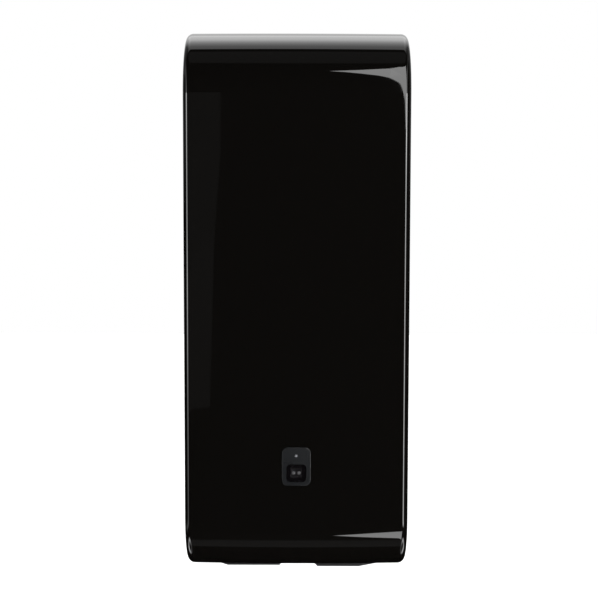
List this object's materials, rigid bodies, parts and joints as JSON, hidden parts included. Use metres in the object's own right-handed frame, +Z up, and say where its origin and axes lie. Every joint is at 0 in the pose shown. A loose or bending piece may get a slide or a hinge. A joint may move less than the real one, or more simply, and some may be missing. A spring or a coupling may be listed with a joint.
{
  "type": "wall mounted soap dispenser",
  "caption": "Touch-free wall dispenser for liquid soap: tall gloss black cover that swings down, sensor panel low on the front, nozzle between two pods below.",
  "frame": {"origin": "on the wall face of the back plate, at the middle of the cover's height and width", "axes": "+X to the right seen from the front, +Y into the wall, +Z up; the front faces -Y"},
  "size_m": [0.1136, 0.1186, 0.2867],
  "materials": {
    "gloss_black": "high gloss moulded black ABS",
    "satin_grey": "satin dark grey plastic",
    "dark_lens": "infrared-passing dark acrylic",
    "clear_lens": "frosted clear acrylic",
    "lock_chrome": "bright nickel plate",
    "steel": "zinc plated steel",
    "black_plastic": "fine textured black plastic",
    "dark_plastic": "fine textured dark grey plastic",
    "white_plastic": "white acetal",
    "bottle_plastic": "translucent soft polyethylene",
    "seal_rubber": "black rubber",
    "spring_steel": "spring steel wire",
    "motor_steel": "nickel plated motor can",
    "magnet": "ferrite",
    "copper": "laminations with copper winding",
    "brass": "machined brass",
    "board_green": "green solder mask",
    "chip_black": "black moulded parts",
    "cell_wrap": "printed foil sleeve",
    "ribbon": "flat white ribbon cable",
    "lead_insulation": "pvc insulated wire",
    "led_dark": "dark epoxy",
    "led_clear": "clear epoxy"
  },
  "bodies": {
    "chassis": {"back_plate": "dark_plastic", "hinge_pins": "steel", "refill_bottle": "bottle_plastic", "refill_cap": "white_plastic", "neck_seal": "seal_rubber", "pump_body": "white_plastic", "pump_spring": "spring_steel", "bottle_shelf": "dark_plastic", "motor_magnets": "magnet", "motor_can": "motor_steel", "motor_end_cap": "black_plastic", "guide_rod": "steel", "gear_shafts": "steel", "drive_frame": "black_plastic", "gearbox_sheet": "steel", "gearbox_screws": "steel", "drive_housing": "dark_plastic", "housing_screws": "steel", "battery_door": "dark_plastic", "battery_tray": "black_plastic", "batteries": "cell_wrap", "battery_contacts": "spring_steel", "circuit_board": "board_green", "board_parts": "chip_black", "sensor_ribbon": "ribbon", "motor_leads": "lead_insulation", "battery_leads": "lead_insulation", "switch_body": "black_plastic", "sensor_holder": "black_plastic", "sensor_board": "board_green", "sensor_module": "led_dark", "ir_emitter": "led_clear", "ir_receiver": "led_dark", "status_led": "led_clear", "base_tray": "black_plastic"},
    "cover": {"front_cover": "gloss_black", "sensor_bezel": "satin_grey", "sensor_window": "dark_lens", "light_pipe": "clear_lens", "lock_body": "lock_chrome", "lock_nut": "steel"},
    "lock_plug": {"lock_barrel": "lock_chrome", "lock_cam": "steel", "cam_screw": "steel"},
    "carriage": {"lift_carriage": "white_plastic"},
    "stem": {"pump_stem": "white_plastic", "nozzle_tip": "dark_plastic"},
    "output_wheel": {"output_gear": "white_plastic"},
    "idler_wheel": {"idler_gear": "white_plastic"},
    "motor_rotor": {"motor_pinion": "brass", "motor_shaft": "steel", "motor_armature": "copper"},
    "switch_slider": {"switch_knob": "white_plastic"}
  },
  "joints": [
    {"name": "cover_hinge", "type": "hinge", "parent": "chassis", "child": "cover", "pos_m": [0, -0.0123, -0.127], "axis": [1, 0, 0], "range_deg": [0, 80]},
    {"name": "lock_turn", "type": "hinge", "parent": "cover", "child": "lock_plug", "pos_m": [0, -0.0123, 0.13], "axis": [0, 0, -1], "range_deg": [0, 90]},
    {"name": "carriage_lift", "type": "slide", "parent": "chassis", "child": "carriage", "axis": [0, 0, 1], "range_m": [0, 0.01]},
    {"name": "stem_lift", "type": "slide", "parent": "chassis", "child": "stem", "axis": [0, 0, 1], "range_m": [0, 0.01], "deforming": ["pump_spring"]},
    {"name": "output_spin", "type": "hinge", "parent": "chassis", "child": "output_wheel", "pos_m": [0.016, -0.03, -0.092], "axis": [0, 1, 0], "range_deg": [0, 82.35]},
    {"name": "idler_spin", "type": "hinge", "parent": "chassis", "child": "idler_wheel", "pos_m": [0.031, -0.03, -0.07536], "axis": [0, 1, 0], "range_deg": [-300.62, 0]},
    {"name": "motor_spin", "type": "hinge", "parent": "chassis", "child": "motor_rotor", "pos_m": [0.033, -0.03, -0.09607], "axis": [0, 1, 0], "range_deg": [0, 1000.9]},
    {"name": "power_switch", "type": "slide", "parent": "chassis", "child": "switch_slider", "axis": [1, 0, 0], "range_m": [0, 0.0042]}
  ],
  "couplings": [
    {"joint": "stem_lift", "follows": "carriage_lift", "ratio": 1},
    {"joint": "output_spin", "follows": "carriage_lift", "rad_per_m": 142.86},
    {"joint": "idler_spin", "follows": "carriage_lift", "rad_per_m": -523.81},
    {"joint": "motor_spin", "follows": "carriage_lift", "rad_per_m": 1746}
  ]
}
